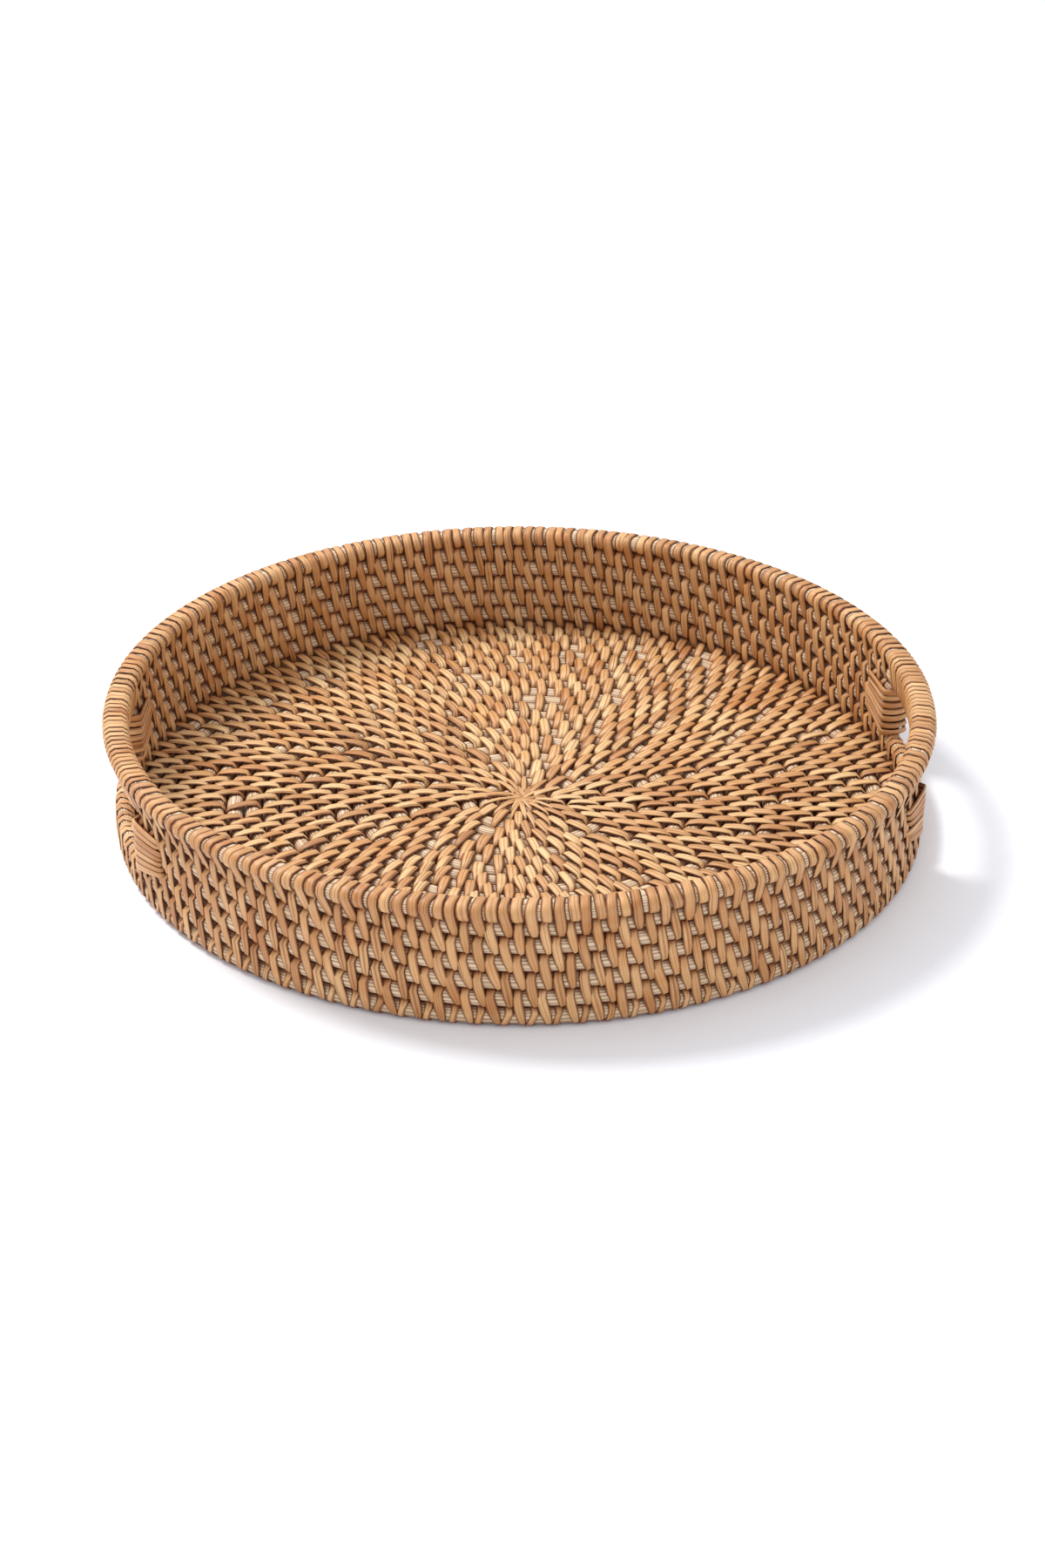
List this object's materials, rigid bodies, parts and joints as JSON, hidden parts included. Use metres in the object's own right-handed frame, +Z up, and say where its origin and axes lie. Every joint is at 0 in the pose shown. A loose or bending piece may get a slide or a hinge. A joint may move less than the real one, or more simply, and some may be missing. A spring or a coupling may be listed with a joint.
{
  "type": "winnowing basket",
  "caption": "Shallow round coiled tray of rattan core lashed with split cane, with a flat base, an upright wall, a thick rim and two hand slots.",
  "frame": {"origin": "middle of the tray on the ground plane it rests on", "axes": "+Z up out of the open top, +X towards the right hand slot, -Y towards the front"},
  "size_m": [0.38, 0.38, 0.0602],
  "materials": {
    "rattan_core": "matt, finely grooved along its length",
    "split_cane": "satin, smooth outer skin"
  },
  "bodies": {
    "root": {"back_course_lower": "rattan_core", "back_course_middle": "rattan_core", "back_course_upper": "rattan_core", "base_coil_01": "rattan_core", "base_coil_02": "rattan_core", "base_coil_03": "rattan_core", "base_coil_04": "rattan_core", "base_coil_05": "rattan_core", "base_coil_06": "rattan_core", "base_coil_07": "rattan_core", "base_coil_08": "rattan_core", "base_coil_09": "rattan_core", "base_coil_10": "rattan_core", "base_coil_11": "rattan_core", "base_coil_12": "rattan_core", "base_coil_13": "rattan_core", "base_coil_14": "rattan_core", "base_coil_15": "rattan_core", "base_coil_16": "rattan_core", "base_coil_17": "rattan_core", "base_coil_18": "rattan_core", "base_coil_19": "rattan_core", "base_coil_20": "rattan_core", "base_coil_21": "rattan_core", "base_lashing_1": "split_cane", "base_lashing_2": "split_cane", "base_lashing_3": "split_cane", "base_lashing_4": "split_cane", "base_lashing_5": "split_cane", "base_start_knot": "rattan_core", "base_start_wraps": "split_cane", "foot_course": "rattan_core", "foot_lashing": "split_cane", "front_course_lower": "rattan_core", "front_course_middle": "rattan_core", "front_course_upper": "rattan_core", "grip_course": "rattan_core", "grip_wraps_left": "split_cane", "grip_wraps_right": "split_cane", "lashing_foot_to_sill": "split_cane", "lashing_lower_to_middle": "split_cane", "lashing_middle_to_upper": "split_cane", "lashing_sill_to_lower": "split_cane", "lashing_upper_to_grip": "split_cane", "rim_core": "rattan_core", "rim_lashing": "split_cane", "rim_short_wraps": "split_cane", "sill_course": "rattan_core", "sill_wraps_left": "split_cane", "sill_wraps_right": "split_cane", "slot_edge_left_back": "split_cane", "slot_edge_left_front": "split_cane", "slot_edge_right_back": "split_cane", "slot_edge_right_front": "split_cane"}
  },
  "joints": []
}
